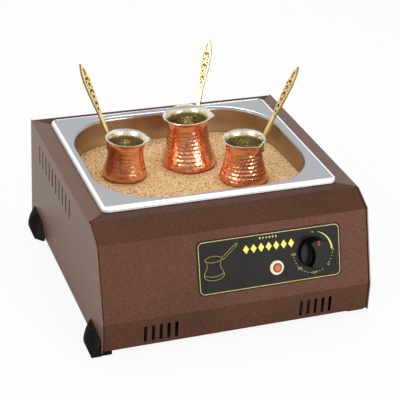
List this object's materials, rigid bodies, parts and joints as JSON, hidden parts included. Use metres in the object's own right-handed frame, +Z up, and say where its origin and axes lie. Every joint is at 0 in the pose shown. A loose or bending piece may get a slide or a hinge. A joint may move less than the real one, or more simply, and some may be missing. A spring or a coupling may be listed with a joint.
{
  "type": "electric turkish coffee maker",
  "caption": "Countertop hot-sand coffee maker: sloping sheet casing with thermostat dial and lamp, lift-out pan of sand over a tubular heater, and spouted copper pots with openwork handles.",
  "frame": {"origin": "on the table, under the middle of the bounding box of the whole object", "axes": "+Z up, -Y towards the front with the dial, +X to the right as seen from the front"},
  "size_m": [0.3792, 0.3856, 0.2765],
  "materials": {
    "casing_paint": "fine hammertone paint, reddish brown",
    "side_paint": "fine hammertone paint, lighter where the light falls",
    "galvanised_sheet": "galvanised",
    "pan_steel": "satin stainless steel",
    "sand": "loose grains",
    "seal_rubber": "matt",
    "foot_plastic": "fine grain",
    "screw_steel": "zinc plated",
    "copper": "hammered and polished, tinned inside",
    "handle_brass": "cast and polished",
    "plate_print": "printed charcoal with gold lines",
    "knob_plastic": "semi-gloss",
    "mark_red": "inlaid",
    "shaft_steel": "turned",
    "thermostat_case": "moulded",
    "bulb_copper": "drawn tube",
    "lamp_white": "moulded",
    "lamp_amber": "translucent amber",
    "board_fibre": "pressed fibre",
    "element_sheath": "oxidised",
    "terminal_ceramic": "glazed ceramic",
    "terminal_brass": "turned",
    "wire_brown": "sleeve",
    "wire_blue": "sleeve",
    "wire_green": "sleeve",
    "gland_plastic": "moulded"
  },
  "bodies": {
    "casing": {"front_panel": "casing_paint", "left_side_panel": "side_paint", "right_side_panel": "side_paint", "back_panel": "casing_paint", "base_plate": "galvanised_sheet", "foot_screws": "screw_steel", "back_screws": "screw_steel", "front_left_foot": "foot_plastic", "rear_left_foot": "foot_plastic", "front_right_foot": "foot_plastic", "rear_right_foot": "foot_plastic", "rim_seal": "seal_rubber", "control_plate": "plate_print", "thermostat_body": "thermostat_case", "thermostat_screws": "screw_steel", "thermostat_bulb": "bulb_copper", "bulb_clamp": "galvanised_sheet", "lamp_bezel": "lamp_white", "lamp_lens": "lamp_amber", "lamp_body": "lamp_white", "lamp_nut": "gland_plastic", "heater_tray": "galvanised_sheet", "tray_screws": "screw_steel", "insulation_board": "board_fibre", "insulation_wrap": "board_fibre", "heating_element": "element_sheath", "element_clamps": "galvanised_sheet", "terminal_block": "terminal_ceramic", "terminal_screws": "terminal_brass", "earth_stud": "terminal_brass", "earth_nuts": "terminal_brass", "supply_wire": "wire_brown", "switched_wire": "wire_brown", "neutral_wire": "wire_blue", "earth_wire": "wire_green", "gland_body": "gland_plastic", "gland_locknut": "gland_plastic", "gland_cap": "gland_plastic", "gland_seal": "seal_rubber"},
    "pan": {"sand_pan": "pan_steel", "sand_bed": "sand"},
    "knob": {"thermostat_knob": "knob_plastic", "knob_mark": "mark_red", "thermostat_shaft": "shaft_steel"},
    "pot_left": {"left_pot_body": "copper", "left_pot_handle": "handle_brass", "left_pot_rivets": "terminal_brass"},
    "pot_middle": {"middle_pot_body": "copper", "middle_pot_handle": "handle_brass", "middle_pot_rivets": "terminal_brass"},
    "pot_right": {"right_pot_body": "copper", "right_pot_handle": "handle_brass", "right_pot_rivets": "terminal_brass"}
  },
  "joints": [
    {"name": "pan_lift", "type": "slide", "parent": "casing", "child": "pan", "axis": [0, 0, 1], "range_m": [0, 0.12]},
    {"name": "pot_left_lift", "type": "slide", "parent": "pan", "child": "pot_left", "axis": [0.0244, 0.007, 0.9997], "range_m": [0, 0.08]},
    {"name": "pot_middle_lift", "type": "slide", "parent": "pan", "child": "pot_middle", "axis": [-0.0732, 0.04, 0.9965], "range_m": [0, 0.08]},
    {"name": "pot_right_lift", "type": "slide", "parent": "pan", "child": "pot_right", "axis": [-0.0558, 0.0227, 0.9982], "range_m": [0, 0.08]},
    {"name": "knob_turn", "type": "hinge", "parent": "casing", "child": "knob", "pos_m": [0.10941, -0.16836, 0.09464], "axis": [0, -0.9449, 0.3272], "range_deg": [-270, 0]}
  ]
}
